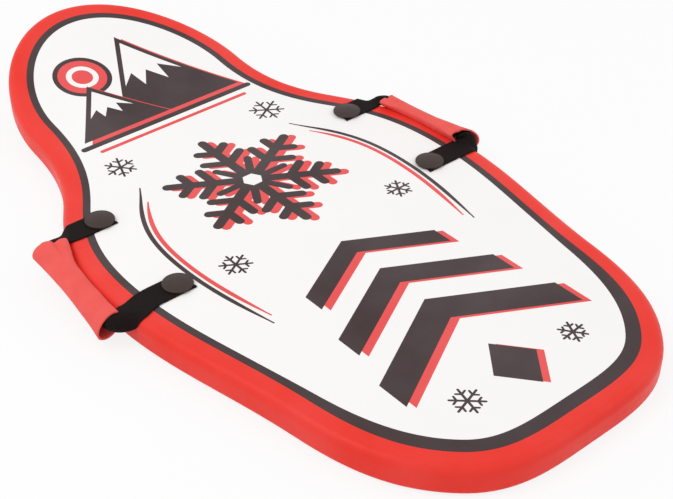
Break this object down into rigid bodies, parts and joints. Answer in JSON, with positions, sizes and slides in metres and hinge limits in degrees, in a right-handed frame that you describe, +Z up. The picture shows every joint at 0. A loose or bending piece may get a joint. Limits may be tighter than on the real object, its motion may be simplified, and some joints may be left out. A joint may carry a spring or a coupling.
{
  "type": "foam snow sled",
  "caption": "Flat foam snow sled with a turned-up nose, a printed skin, a slick underside and two webbing handles with rolled foam grips.",
  "frame": {"origin": "middle of the flat underside, on the floor", "axes": "+Z up, +Y towards the turned-up nose, +X to the rider's right"},
  "size_m": [0.6265, 1.064, 0.106],
  "materials": {
    "printed_skin": "closed foam skin, red margin and side, white and charcoal print on top",
    "core_foam": "white closed-cell foam, matt",
    "slick_sheet": "slick polyethylene sheet",
    "plug_plastic": "satin moulded plastic",
    "webbing": "woven polyester webbing",
    "grip_foam": "soft foam sheet, matt"
  },
  "bodies": {
    "board": {"deck_skin": "printed_skin", "foam_core": "core_foam", "slick_runner_sheet": "slick_sheet", "left_front_plug_cap": "plug_plastic", "left_rear_plug_cap": "plug_plastic", "right_front_plug_cap": "plug_plastic", "right_rear_plug_cap": "plug_plastic", "left_front_plug_base": "plug_plastic", "left_rear_plug_base": "plug_plastic", "right_front_plug_base": "plug_plastic", "right_rear_plug_base": "plug_plastic", "left_front_webbing_tab": "webbing", "left_rear_webbing_tab": "webbing", "right_front_webbing_tab": "webbing", "right_rear_webbing_tab": "webbing"},
    "left_handle": {"left_webbing_loop": "webbing", "left_foam_grip": "grip_foam"},
    "right_handle": {"right_webbing_loop": "webbing", "right_foam_grip": "grip_foam"}
  },
  "joints": [
    {"name": "left_handle_swing", "type": "hinge", "parent": "board", "child": "left_handle", "pos_m": [-0.231, 0.025, 0.0397], "axis": [0, 1, 0], "range_deg": [0, 115]},
    {"name": "right_handle_swing", "type": "hinge", "parent": "board", "child": "right_handle", "pos_m": [0.231, 0.025, 0.0397], "axis": [0, -1, 0], "range_deg": [0, 115]}
  ]
}
